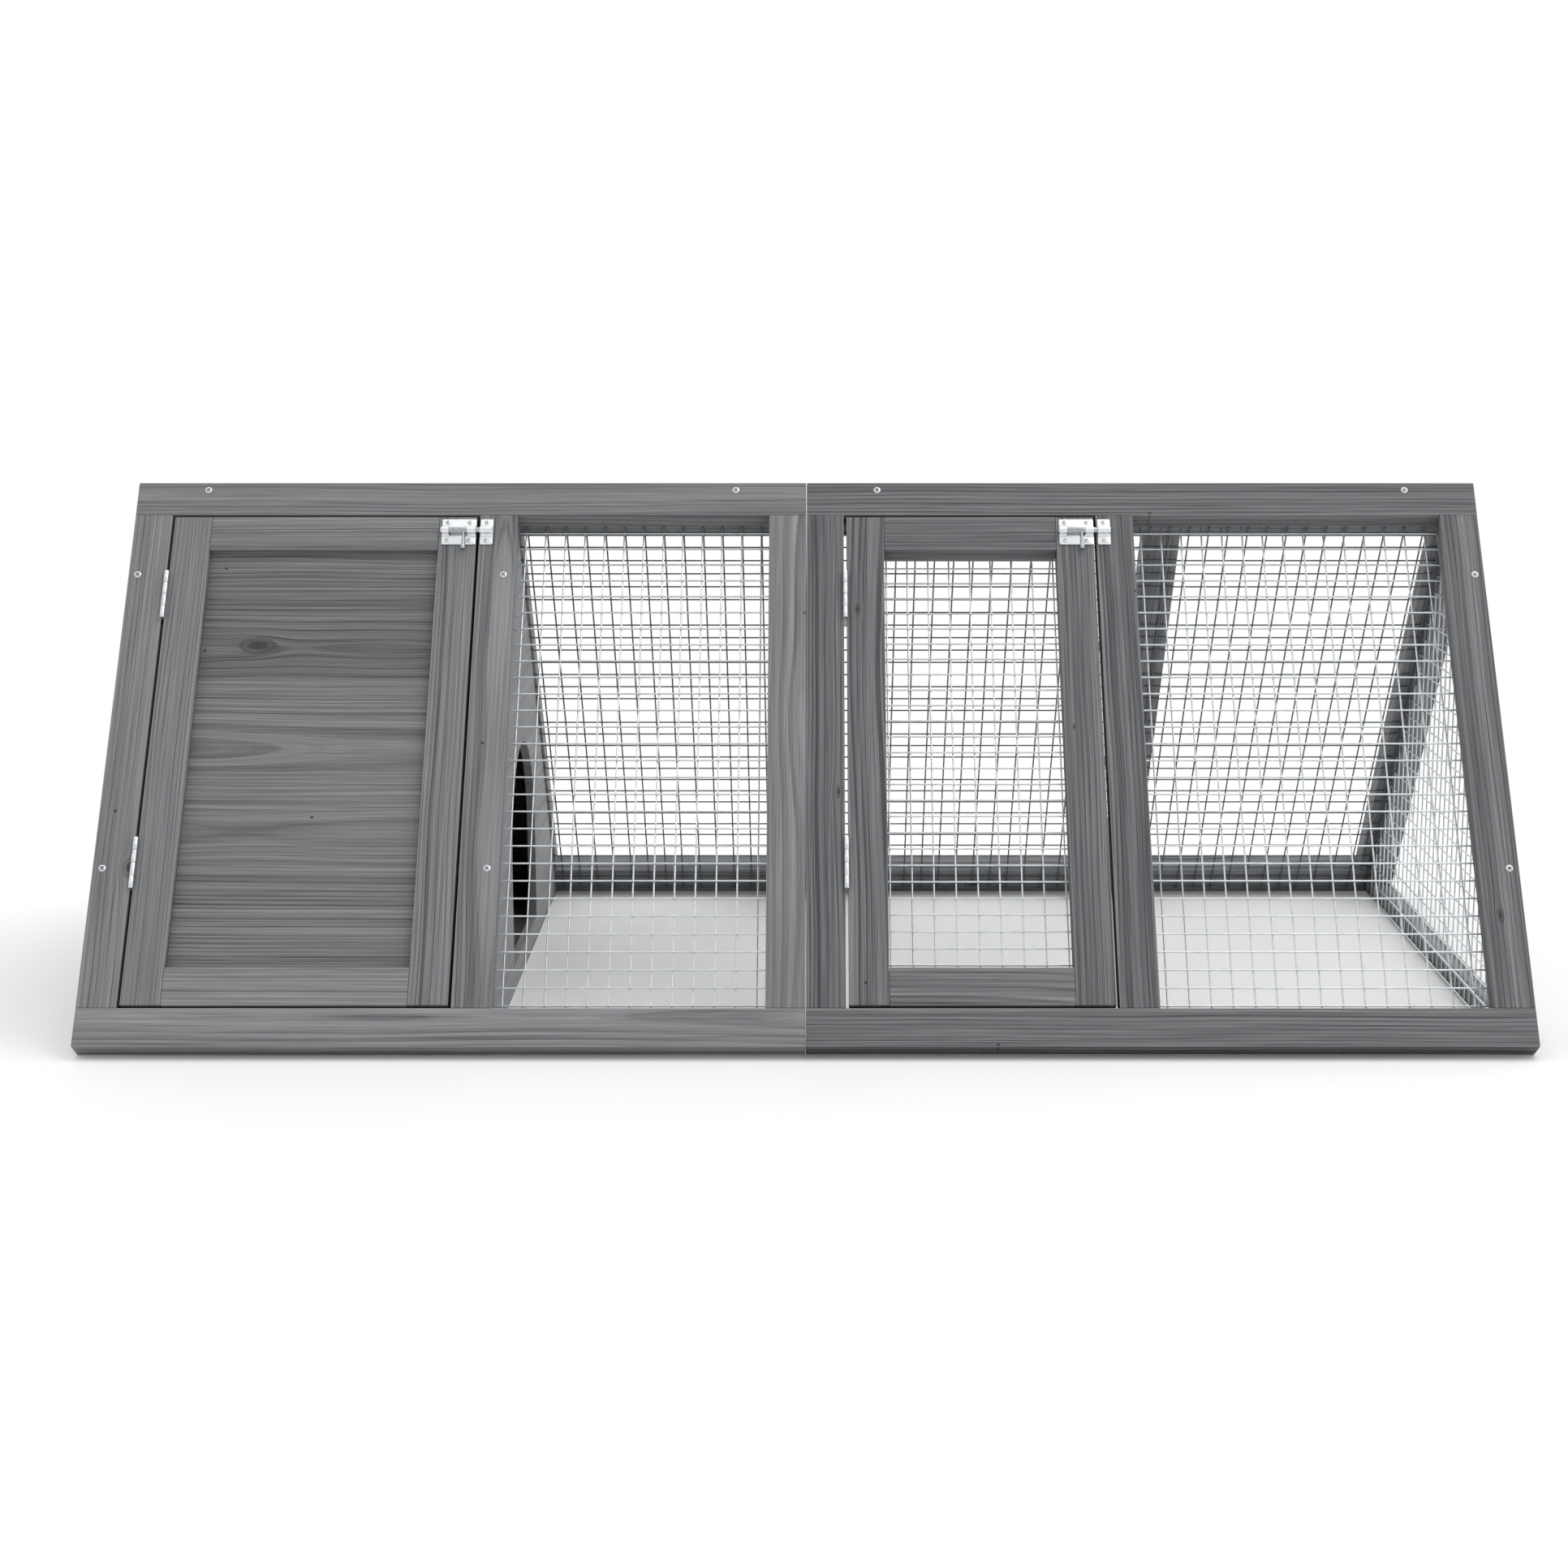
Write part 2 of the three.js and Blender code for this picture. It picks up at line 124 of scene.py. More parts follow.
def stained_softwood(name, pale, mid, deep):
    """Planed pine under a thin matt stain: growth rings cut through lengthways, so that
    they read as fine lines and long arches, with fibres, pin knots and a painted highlight on the corners."""
    material, tree, shader = new_material(name)
    coordinates = node(tree, "TexCoord")
    at = coordinates.outputs["Object"]
    x, y, z = node(tree, "SeparateXYZ", [at]).outputs
    seed = node(tree, "Attribute", attribute_type="OBJECT", attribute_name="seed").outputs["Fac"]
    tone = node(tree, "Attribute", attribute_type="OBJECT", attribute_name="tone").outputs["Fac"]
    knot = node(tree, "Attribute", attribute_type="OBJECT", attribute_name="knot").outputs["Vector"]
    half = node(tree, "Attribute", attribute_type="OBJECT", attribute_name="half").outputs["Vector"]
    shift = node(tree, "CombineXYZ", [calc(tree, "MULTIPLY", seed, 37.1),
                                      calc(tree, "MULTIPLY", seed, 91.7),
                                      calc(tree, "MULTIPLY", seed, 53.3)]).outputs[0]

    # How far a point lies from the knot, in knot radii: the knot is longer along the grain.
    # The grain parts round it, as if the board were drawn in towards the knot.
    knot_x, knot_y, knot_r = node(tree, "SeparateXYZ", [knot]).outputs
    aside = calc(tree, "SUBTRACT", y, knot_y)
    off_x = calc(tree, "DIVIDE", calc(tree, "SUBTRACT", x, knot_x),
                 calc(tree, "MULTIPLY", knot_r, KNOT_STRETCH))
    off_y = calc(tree, "DIVIDE", aside, knot_r)
    off = calc(tree, "SQRT", calc(tree, "ADD", calc(tree, "MULTIPLY", off_x, off_x),
                                  calc(tree, "MULTIPLY", off_y, off_y)))
    swell = calc(tree, "EXPONENT", calc(tree, "MULTIPLY", calc(tree, "MULTIPLY", off, off), -0.55))
    parted_y = calc(tree, "SUBTRACT", y, calc(tree, "MULTIPLY", aside, calc(tree, "MULTIPLY", swell, 0.8)))
    parted = node(tree, "CombineXYZ", [x, parted_y, z]).outputs[0]

    def noise(along, across, detail, rough=0.5):
        """Noise drawn out along the grain, in cycles per millimetre each way."""
        scaled = node(tree, "VectorMath", [parted, (along, across, across)], operation="MULTIPLY")
        moved = node(tree, "VectorMath", [scaled.outputs[0], shift], operation="ADD")
        return node(tree, "TexNoise", {"Vector": moved.outputs[0], "Scale": 1.0,
                                       "Detail": detail, "Roughness": rough}).outputs["Fac"]

    # Distance from the tree's heart, which lies below the board and often beside it.
    wander = calc(tree, "MULTIPLY", calc(tree, "SUBTRACT", noise(0.0028, 0.005, 1.0), 0.5), 14.0)
    heart_y = calc(tree, "MULTIPLY", calc(tree, "SUBTRACT", calc(tree, "FRACT",
                   calc(tree, "MULTIPLY", seed, 3.71)), 0.5), 230.0)
    heart_z = calc(tree, "ADD", calc(tree, "MULTIPLY", calc(tree, "FRACT",
                   calc(tree, "MULTIPLY", seed, 5.37)), 40.0), 14.0)
    from_y = calc(tree, "SUBTRACT", parted_y, heart_y)
    from_z = calc(tree, "ADD", z, heart_z)
    ring = calc(tree, "ADD", wander, calc(tree, "SQRT", calc(
        tree, "ADD", calc(tree, "MULTIPLY", from_y, from_y), calc(tree, "MULTIPLY", from_z, from_z))))

    def seasons(per_mm, detail, rough):
        """Changes from one year's growth to the next."""
        step = calc(tree, "ADD", calc(tree, "MULTIPLY", ring, per_mm), calc(tree, "MULTIPLY", seed, 11.0))
        return node(tree, "TexNoise", {"W": step, "Scale": 1.0, "Detail": detail, "Roughness": rough},
                    noise_dimensions="1D").outputs["Fac"]

    bands = seasons(0.42, 3.0, 0.68)
    years = seasons(0.075, 1.0, 0.5)
    turns = calc(tree, "ADD", calc(tree, "DIVIDE", ring, RING_PITCH), calc(tree, "MULTIPLY", bands, 2.0))
    pulse = calc(tree, "MULTIPLY_ADD", calc(tree, "SINE", calc(tree, "MULTIPLY", turns, math.tau)), 0.5, 0.5)
    late_wood = calc(tree, "POWER", pulse, 3.0)
    fibres = noise(0.008, 1.1, 3.0, 0.62)
    blotches = noise(0.004, 0.03, 2.0)

    def about(source, weight):
        return calc(tree, "MULTIPLY", calc(tree, "SUBTRACT", source, 0.5), weight)

    value = calc(tree, "ADD", 0.55, about(bands, 0.65))
    for source, weight in ((years, 0.45), (fibres, 1.25), (blotches, 0.35)):
        value = calc(tree, "ADD", value, about(source, weight))
    value = calc(tree, "SUBTRACT", value, calc(tree, "MULTIPLY", late_wood,
                                               spread(tree, blotches, 0.3, 0.7, 0.12, 0.46)))
    value = calc(tree, "ADD", value, tone)
    ramp = node(tree, "ValToRGB", [value])
    ramp.color_ramp.elements[0].color = linear(deep)
    ramp.color_ramp.elements[1].color = linear(pale)
    ramp.color_ramp.elements.new(0.5).color = linear(mid)
    colour = ramp.outputs[0]

    # The knot's own fine rings, its dark heart, and pin knots scattered along the boards.
    wave = calc(tree, "SINE", calc(tree, "MULTIPLY", off, 17.0))
    rings = calc(tree, "MULTIPLY_ADD", wave, 0.24, 0.34)
    core = calc(tree, "MULTIPLY", spread(tree, off, 1.15, 0.9), rings)
    colour = blend_colour(tree, core, colour, linear("#38393b"))
    heart = spread(tree, off, 0.5, 0.32, 0.0, 0.75)
    colour = blend_colour(tree, heart, colour, linear("#343537"))
    flat = node(tree, "CombineXYZ", [calc(tree, "ADD", x, calc(tree, "MULTIPLY", seed, 310.0)), y, 0.0])
    pins = node(tree, "TexVoronoi", {"Vector": flat.outputs[0], "Scale": 0.011}, voronoi_dimensions="2D")
    chosen = calc(tree, "LESS_THAN", node(tree, "SeparateColor", [pins.outputs["Color"]]).outputs[0], 0.2)
    pin = calc(tree, "MULTIPLY", spread(tree, pins.outputs["Distance"], 0.022, 0.009), chosen)
    colour = blend_colour(tree, calc(tree, "MULTIPLY", pin, 0.85), colour, linear("#242527"))

    # Painted highlight on the long corners: lighter where light catches the arris. The stain soaks deeper
    # into the sawn ends.
    room = node(tree, "VectorMath", [half, node(tree, "VectorMath", [at], operation="ABSOLUTE").outputs[0]],
                operation="SUBTRACT").outputs[0]
    _, room_y, room_z = node(tree, "SeparateXYZ", [room]).outputs
    edge_highlight = calc(tree, "MULTIPLY", spread(tree, room_y, 1.5, 0.2), spread(tree, room_z, 1.5, 0.2))
    colour = blend_colour(tree, calc(tree, "MULTIPLY", edge_highlight, 0.4), colour, linear("#98999b"))
    facing_x = calc(tree, "ABSOLUTE", node(tree, "SeparateXYZ", [coordinates.outputs["Normal"]]).outputs[0])
    colour = blend_colour(tree, spread(tree, facing_x, 0.7, 0.9, 0.0, 0.35), colour, linear("#434446"))

    relief = calc(tree, "ADD", calc(tree, "MULTIPLY", bands, 0.8), calc(tree, "MULTIPLY", fibres, 0.5))
    relief = calc(tree, "SUBTRACT", relief, calc(tree, "MULTIPLY", pin, 0.8))
    bump = node(tree, "Bump", {"Strength": 0.35, "Distance": 0.0004, "Height": relief})
    roughness = calc(tree, "MULTIPLY_ADD", value, -0.16, 0.78)
    for socket, source in (("Base Color", colour), ("Roughness", roughness), ("Normal", bump.outputs[0])):
        tree.links.new(source, shader.inputs[socket])
    shader.inputs["Specular IOR Level"].default_value = 0.3
    return material


# Mid-grey stain that lets pale lines of grain through: the look of the rails and stiles.
FRAME_WOOD = stained_softwood("grey_stained_pine_rails", "#97989a", "#757678", "#454649")


def place(name, bm, space, material, body, cad_nodes):
    """Turns a millimetre mesh into an object in a space, riding a body for its CAD nodes."""
    mesh = bpy.data.meshes.new(name)
    bm.normal_update()
    bm.to_mesh(mesh)
    bm.free()
    for face in mesh.polygons:
        face.use_smooth = True
    mesh.set_sharp_from_angle(angle=math.radians(38))
    mesh.materials.append(material)
    piece = bpy.data.objects.new(name, mesh)
    bpy.context.scene.collection.objects.link(piece)
    piece.matrix_world = space
    if cad_nodes:
        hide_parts(*cad_nodes)
    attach(piece, body)
    return piece


def dress_wood(piece, size, tone, knot):
    """What the wood material asks of a board: its own draw of grain, shade and any knot."""
    piece["seed"] = draw.uniform(0.0, 9.0)
    piece["tone"] = tone + draw.uniform(-0.06, 0.06)
    piece["half"] = [side / 2 for side in size]
    piece["knot"] = list(knot)


def bar(size, bevel=0.7):
    """A box of a board's size with its corners eased."""
    bm = bmesh.new()
    bmesh.ops.create_cube(bm, size=1.0)
    bmesh.ops.scale(bm, vec=size, verts=bm.verts)
    if bevel:
        bmesh.ops.bevel(bm, geom=bm.edges[:], offset=bevel, segments=2, profile=0.6,
                        affect="EDGES")
    return bm


def board(side, name, xs, ys, zs=(-FRAME_T, 0), along="x", body="hutch", material=None,
          cad=None, tone=0.0, knot=NO_KNOT, bevel=0.7, mitre=False):
    """A board of a sloping side. Its own x runs along its grain."""
    spans = [b - a for a, b in (xs, ys, zs)]
    size = spans if along == "x" else [spans[1], spans[0], spans[2]]
    bm = bar(size, 0)
    if mitre:
        for v in bm.verts:
            if v.co.y > 0:
                v.co.y -= JOINT / math.cos(TILT) + (FRAME_T * math.tan(TILT) if v.co.z < 0 else 0)
    bmesh.ops.bevel(bm, geom=bm.edges[:], offset=bevel, segments=2, profile=0.6, affect="EDGES")
    space = side @ Matrix.Translation([(a + b) / 2 for a, b in (xs, ys, zs)])
    if along == "y":
        space = space @ Matrix.Rotation(math.pi / 2, 4, "Z")
    piece = place(name, bm, space, material or FRAME_WOOD, body, [cad or name])
    dress_wood(piece, size, tone, knot)
    return piece


def module_frame(side, prefix, xs, stiles, top_width, knots, tone=0.0):
    """Rails over a module's length, with stiles between them given by their left edges."""
    top = SLOPE - top_width
    board(side, f"{prefix}_top_rail", xs, (top, SLOPE), mitre=True, bevel=0.5,
          tone=tone, knot=knots.get("top", NO_KNOT))
    board(side, f"{prefix}_bottom_rail", xs, (0, FRAME_W), tone=tone, knot=knots.get("bottom", NO_KNOT))
    for name, x in stiles.items():
        board(side, f"{prefix}_{name}_stile", (max(x, xs[0]), min(x + FRAME_W, xs[1])),
              (FRAME_W + JOINT, top - JOINT), along="y", tone=tone, knot=knots.get(name, NO_KNOT))


OUTER = MODULE - FRAME_W
module_frame(FRONT, "front_left", (-MODULE, -JOINT),
             {"outer": -MODULE, "mid": -MID_STILE_X - FRAME_W, "seam": -FRAME_W}, FRAME_W,
             {"outer": (-118, -15, 5.0)}, tone=0.05)
module_frame(FRONT, "front_right", (JOINT, MODULE),
             {"seam": 0, "mid": MID_STILE_X, "outer": OUTER}, FRAME_W,
             {"seam": (-42, -12, 3.4), "outer": (-165, 4, 3.4)}, tone=-0.17)

# ---------------------------------------------------------------------------------------
# Back frames
# The same timber and joints as the front. The back's top rails are wider, and the right
# module's mid stile stands off the front's.

BACK_TOP_W = 50
BACK_STILE_X = 331
module_frame(BACK, "back_left", (JOINT, MODULE),
             {"seam": 0, "mid": MID_STILE_X, "outer": OUTER}, BACK_TOP_W, {"mid": (60, 5, 5.0)})
module_frame(BACK, "back_right", (-MODULE, -JOINT),
             {"outer": -MODULE, "mid": -BACK_STILE_X - FRAME_W, "seam": -FRAME_W}, BACK_TOP_W,
             {"bottom": (140, -6, 5.0)})

# ---------------------------------------------------------------------------------------
# Nest boards: back panel, end board, partition and floor
# Thin softwood boards glued edge to edge, let in between the frames and screwed. The
# partition has a round-headed doorway sawn through it.

PANEL_RECESS = 8
PANEL_T = 10
PANEL_PLANKS = 5
GLUE_LINE = 0.03  # a plank of a panel stops this short of its glued edges
INNER_FOOT = FOOTPRINT / 2 - FRAME_T * math.sin(TILT)
PARTITION_T = 8
PARTITION_X = -MID_STILE_X - PARTITION_T / 2 - 2.6
END_BOARD_T = 18
DOORWAY_W = 210
DOORWAY_SILL = 24
DOORWAY_SPRING = 121
FLOOR_Z = (8, 20)
FLOOR_PLANKS = 6
FLOOR_SLIT = 0.2  # a floor plank stops this short of its edges
PLANK_W = 96
# The same stain a shade darker on wide planks, where arches of grain and a knot show.
BOARD_WOOD = stained_softwood("grey_stained_glued_boards", "#8f9092", "#6e6f71", "#424345")
# Bare pine gone brown, seen dimly through the doorway.
FLOOR_WOOD = stained_softwood("bare_nest_floor_pine", "#6b655d", "#544f48", "#3c3833")


def half_room(z, clear):
    """Half the room between the sloping sides at a height, less a clearance."""
    return INNER_FOOT - z / math.tan(TILT) - clear / math.sin(TILT)


def room_top(clear, y=0.0):
    return (INNER_FOOT - y) * math.tan(TILT) - clear / math.cos(TILT)


def upright(name, outline, x, thickness, angle=0.0, cad=None, material=None, tone=0.0,
            bevel=0.5, knot=NO_KNOT):
    """A board standing across the hutch. The outline is in y and z, and its grain runs at
    an angle from level."""
    turn = Matrix.Rotation(-angle, 2)
    points = [turn @ Vector(p) for p in outline]
    low = Vector((min(p.x for p in points), min(p.y for p in points)))
    high = Vector((max(p.x for p in points), max(p.y for p in points)))
    middle = (low + high) / 2
    bm = bmesh.new()
    base = bm.faces.new([bm.verts.new((*(p - middle), -thickness / 2)) for p in points])
    grown = bmesh.ops.extrude_face_region(bm, geom=[base])
    top = [v for v in grown["geom"] if isinstance(v, bmesh.types.BMVert)]
    bmesh.ops.translate(bm, vec=(0, 0, thickness), verts=top)
    bmesh.ops.recalc_face_normals(bm, faces=bm.faces[:])
    if bevel:
        bmesh.ops.bevel(bm, geom=bm.edges[:], offset=bevel, segments=2, profile=0.6,
                        affect="EDGES")
    grain = Vector((0, math.cos(angle), math.sin(angle)))
    across = Vector((0, -math.sin(angle), math.cos(angle)))
    centre = grain * middle.x + across * middle.y + Vector((x, 0, 0))
    basis = Matrix((grain, across, Vector((1, 0, 0)))).transposed().to_4x4()
    space = Matrix.Scale(MM, 4) @ Matrix.Translation(centre) @ basis
    piece = place(name, bm, space, material or BOARD_WOOD, "hutch", [cad or name])
    dress_wood(piece, (*(high - low), thickness), tone, knot)
    return piece


def saw_out(piece, cutter):
    """Cuts another object's shape out of a piece, and takes the cutter away."""
    step = piece.modifiers.new("saw", "BOOLEAN")
    step.object, step.operation, step.solver = cutter, "DIFFERENCE", "EXACT"
    graph = bpy.context.evaluated_depsgraph_get()
    cut = bpy.data.meshes.new_from_object(piece.evaluated_get(graph))
    piece.modifiers.remove(step)
    piece.data = cut
    bpy.data.objects.remove(cutter)


def plain_object(name, bm, space):
    mesh = bpy.data.meshes.new(name)
    bm.to_mesh(mesh)
    bm.free()
    made = bpy.data.objects.new(name, mesh)
    bpy.context.scene.collection.objects.link(made)
    made.matrix_world = space
    return made


def doorway_cutter():
    """The doorway's prism, a little longer than the partition is thick."""
    bm = bmesh.new()
    steps = 32
    arc = [(DOORWAY_W / 2 * math.cos(math.pi * i / steps),
            DOORWAY_SPRING + DOORWAY_W / 2 * math.sin(math.pi * i / steps)) for i in range(steps + 1)]
    outline = [(-DOORWAY_W / 2, DOORWAY_SILL), (DOORWAY_W / 2, DOORWAY_SILL)] + arc
    base = bm.faces.new([bm.verts.new((PARTITION_X - PARTITION_T, y, z)) for y, z in outline])
    grown = bmesh.ops.extrude_face_region(bm, geom=[base])
    far = [v for v in grown["geom"] if isinstance(v, bmesh.types.BMVert)]
    bmesh.ops.translate(bm, vec=(2 * PARTITION_T, 0, 0), verts=far)
    bmesh.ops.recalc_face_normals(bm, faces=bm.faces[:])
    return plain_object("doorway_cutter", bm, Matrix.Scale(MM, 4))


def gable_boards(name, x, thickness, doorway=False, tone=0.0):
    """A triangle of level planks, glued edge to edge."""
    z, i = 0.0, 0
    peak = room_top(JOINT)
    while z < peak - 1:
        top = min(z + PLANK_W, peak)
        outline = [(-half_room(z, JOINT), z), (half_room(z, JOINT), z)]
        outline += [(half_room(top, JOINT), top)] if top < peak else []
        outline += [(-half_room(top, JOINT), top)] if top < peak else [(0, peak)]
        plank = upright(f"{name}_plank_{i + 1}", outline, x, thickness, cad=name, bevel=0.25,
                        tone=tone + draw.uniform(-0.08, 0.08), knot=(60, 10, 5) if i == 1 else NO_KNOT)
        if doorway and z < DOORWAY_SPRING + DOORWAY_W / 2:
            saw_out(plank, doorway_cutter())
        z, i = top, i + 1


def level_planks(side, name, xs, edges, body, tones, knots=None):
    """Planks along the ridge filling a frame's opening, given by their edges up the slope."""
    for i, (low, high) in enumerate(zip(edges, edges[1:])):
        board(side, f"{name}_plank_{i + 1}", xs, (low + GLUE_LINE, high - GLUE_LINE),
              (-PANEL_RECESS - PANEL_T, -PANEL_RECESS), body=body, material=BOARD_WOOD, cad=name,
              bevel=0.22, tone=tones[i % len(tones)],
              knot=(knots or {}).get(i, NO_KNOT))


panel_rise = SLOPE - BACK_TOP_W - OPENING[0] - 2 * JOINT
back_panel_edges = [OPENING[0] + JOINT + panel_rise * i / PANEL_PLANKS for i in range(PANEL_PLANKS + 1)]
level_planks(BACK, "back_left_panel", (MID_STILE_X + FRAME_W + JOINT, OUTER - JOINT),
             back_panel_edges, "hutch", (0.0, -0.07, 0.05, -0.03, 0.04), {2: (30, 12, 7)})
gable_boards("left_end_board", -MODULE + END_BOARD_T / 2, END_BOARD_T)
# The partition's tone of 0.42 makes it lighter than the other boards: painted light, for the light that
# falls on it from the right and above.
gable_boards("partition", PARTITION_X, PARTITION_T, doorway=True, tone=0.42)

floor_from = -MODULE + END_BOARD_T + JOINT
floor_to = PARTITION_X - PARTITION_T / 2 - JOINT
floor_half = half_room(FLOOR_Z[1], JOINT)
GROUND = Matrix.Scale(MM, 4)
floor_plank = 2 * floor_half / FLOOR_PLANKS
for i in range(FLOOR_PLANKS):
    edge = -floor_half + i * floor_plank
    board(GROUND, f"nest_floor_plank_{i + 1}", (floor_from, floor_to),
          (edge + FLOOR_SLIT, edge + floor_plank - FLOOR_SLIT), FLOOR_Z, cad="nest_floor",
          material=FLOOR_WOOD, bevel=0.5)

# ---------------------------------------------------------------------------------------
# Right end frame
# A triangle of 22 x 16 mm battens: a sill on the ground with two rafters standing on it,
# screwed to the sides' outer stiles from within.

BATTEN_W = 16
BATTEN_DEPTH = 22
end_x = MODULE - BATTEN_DEPTH / 2
rafter_foot = BATTEN_W + JOINT
upright("right_end_sill", [
    (-half_room(0, JOINT), 0), (half_room(0, JOINT), 0),
    (half_room(BATTEN_W, JOINT), BATTEN_W), (-half_room(BATTEN_W, JOINT), BATTEN_W),
], end_x, BATTEN_DEPTH, material=FRAME_WOOD)
for hand, label in ((-1, "front"), (1, "back")):
    corners = [
        (half_room(rafter_foot, JOINT + BATTEN_W), rafter_foot),
        (half_room(rafter_foot, JOINT), rafter_foot),
        (JOINT, room_top(JOINT, JOINT)),
        (JOINT, room_top(JOINT + BATTEN_W, JOINT)),
    ]
    upright(f"right_end_{label}_rafter", [(hand * y, z) for y, z in corners], end_x, BATTEN_DEPTH,
            angle=TILT if hand < 0 else math.pi - TILT, material=FRAME_WOOD)

# ---------------------------------------------------------------------------------------
# Solid door's timber
# A frame of the same stock, with its rails between its stiles, filled with glued planks
# set back from the face. It closes the nest.

DOOR_GAP = 2.8
DOOR_Y = (OPENING[0] + DOOR_GAP, OPENING[1] - DOOR_GAP)
LEFT_DOOR_X = (-OUTER + DOOR_GAP, -MID_STILE_X - FRAME_W - DOOR_GAP)
RIGHT_DOOR_X = (FRAME_W + DOOR_GAP, MID_STILE_X - DOOR_GAP)


def door_frame(prefix, xs, tone, knots):
    left, right = xs
    board(FRONT, f"{prefix}_hinge_stile", (left, left + FRAME_W), DOOR_Y, along="y", body=prefix,
          tone=tone, knot=knots.get("hinge", NO_KNOT))
    board(FRONT, f"{prefix}_latch_stile", (right - FRAME_W, right), DOOR_Y, along="y", body=prefix,
          tone=tone, knot=knots.get("latch", NO_KNOT))
    inner = (left + FRAME_W + JOINT, right - FRAME_W - JOINT)
    board(FRONT, f"{prefix}_top_rail", inner, (DOOR_Y[1] - FRAME_W, DOOR_Y[1]), body=prefix,
          tone=tone - 0.04)
    board(FRONT, f"{prefix}_bottom_rail", inner, (DOOR_Y[0], DOOR_Y[0] + FRAME_W), body=prefix,
          tone=tone + 0.04)


door_frame("left_door", LEFT_DOOR_X, 0.03, {})
fill_x = (LEFT_DOOR_X[0] + FRAME_W + JOINT, LEFT_DOOR_X[1] - FRAME_W - JOINT)
fill_y = (DOOR_Y[0] + FRAME_W + JOINT, DOOR_Y[1] - FRAME_W - JOINT)
joints_up = [fill_y[0], 174, 271, 366, 466, fill_y[1]]
level_planks(FRONT, "left_door_panel", fill_x, joints_up, "left_door",
             (0.03, 0.11, 0.04, -0.04, -0.02), {3: (-56, -11, 9.0)})

# ---------------------------------------------------------------------------------------
# Meshed door's timber
# The same frame, narrower, with mesh behind it in place of boards. It opens the run.

door_frame("right_door", RIGHT_DOOR_X, -0.17, {"latch": (25, 9, 2.2), "hinge": (150, 8, 3.0)})

# ---------------------------------------------------------------------------------------
# Wire mesh
# Galvanised welded mesh of 1.6 mm wire, three quarters of an inch apart, stapled behind
# the frames. The level wires lie nearest the timber and the others behind them.

WIRE_R = 0.8
WIRE_SIDES = 7
PITCH_X = 19.1
PITCH_Y = 17.5
MESH_LAP = 14
LEVEL_Z = -FRAME_T - JOINT - WIRE_R
CROSS_Z = LEVEL_Z - 1.75 * WIRE_R
MESH_FLOOR = 9.0  # lowest level wire, up the slope
MESH_T = 3
MESH_TOP = SLOPE - (FRAME_T + JOINT + MESH_T) * math.tan(TILT) - 1


def bright_metal(name, pale, dull, smooth, rough, speck):
    """Zinc on steel: silvery, with the faint cloudy patches that plating dries to."""
    material, tree, shader = new_material(name)
    at = node(tree, "TexCoord").outputs["Object"]
    patches = node(tree, "TexNoise", {"Vector": at, "Scale": speck, "Detail": 3.0}).outputs["Fac"]
    scuffs = node(tree, "TexNoise", {"Vector": at, "Scale": speck * 9, "Detail": 2.0}).outputs["Fac"]
    colour = blend_colour(tree, spread(tree, patches, 0.35, 0.65), linear(dull), linear(pale))
    roughness = spread(tree, calc(tree, "ADD", patches, calc(tree, "MULTIPLY", scuffs, 0.4)),
                       0.4, 1.0, rough, smooth)
    bump = node(tree, "Bump", {"Strength": 0.06, "Distance": 0.0001, "Height": scuffs})
    for socket, source in (("Base Color", colour), ("Roughness", roughness), ("Normal", bump.outputs[0])):
        tree.links.new(source, shader.inputs[socket])
    shader.inputs["Metallic"].default_value = 1.0
    return material


# Pale wires on the front and the end. The back's wires are the same zinc painted darker grey, as painted
# shade for the shade they lie in, so they read as dark lines against the light.
BRIGHT_WIRE = bright_metal("bright_galvanised_wire", "#cdd1d3", "#c1c5c7", 0.3, 0.36, 0.12)
BACK_WIRE_PAINTED_SHADE = bright_metal("galvanised_wire_painted_shade", "#74787b", "#686c6f", 0.4, 0.48, 0.12)


def tube(bm, path, radius, sides):
    """A round bar through some points, closed at both ends."""
    ends = (path[-1] - path[0]).normalized()
    side = ends.orthogonal().normalized()
    other = ends.cross(side)
    rings = []
    for point in path:
        rings.append([bm.verts.new(point + radius * (math.cos(a) * side + math.sin(a) * other))
                      for a in (2 * math.pi * k / sides for k in range(sides))])
    for low, high in zip(rings, rings[1:]):
        for k in range(sides):
            bm.faces.new((low[k], low[(k + 1) % sides], high[(k + 1) % sides], high[k]))
    bm.faces.new(rings[0][::-1])
    bm.faces.new(rings[-1])


def wire(bm, start, end, pitch):
    """One wire of the mesh: straight, but kinked a hair at every weld."""
    start, end = Vector(start), Vector(end)
    steps = max(1, round((end - start).length / pitch))
    across = (end - start).normalized().cross(Vector((0, 0, 1)))
    lean = [draw.uniform(-0.12, 0.12) for _ in range(2)]
    path = []
    for i in range(steps + 1):
        t = i / steps
        sway = lean[0] * (1 - t) + lean[1] * t + draw.uniform(-0.01, 0.01)
        path.append(start.lerp(end, t) + across * sway)
    tube(bm, path, WIRE_R, WIRE_SIDES)


def along_span(start, pitch, low, high):
    """Positions at a pitch through start that lie inside a span."""
    first = math.ceil((low - start) / pitch)
    last = math.floor((high - start) / pitch)
    return [start + i * pitch for i in range(first, last + 1)]


def welded_mesh(side, name, xs, ys, start_x, start_y, pitch_x=PITCH_X, pitch_y=PITCH_Y, body="hutch"):
    bm = bmesh.new()
    for x in along_span(start_x, pitch_x, xs[0] + 1, xs[1] - 1):
        wire(bm, (x, ys[0], CROSS_Z), (x, ys[1], CROSS_Z), pitch_y)
    for y in along_span(start_y, pitch_y, ys[0] + 0.5, ys[1] - 1):
        wire(bm, (xs[0], y, LEVEL_Z), (xs[1], y, LEVEL_Z), pitch_x)
    place(name, bm, side, BACK_WIRE_PAINTED_SHADE if side == BACK else BRIGHT_WIRE, body, [name])


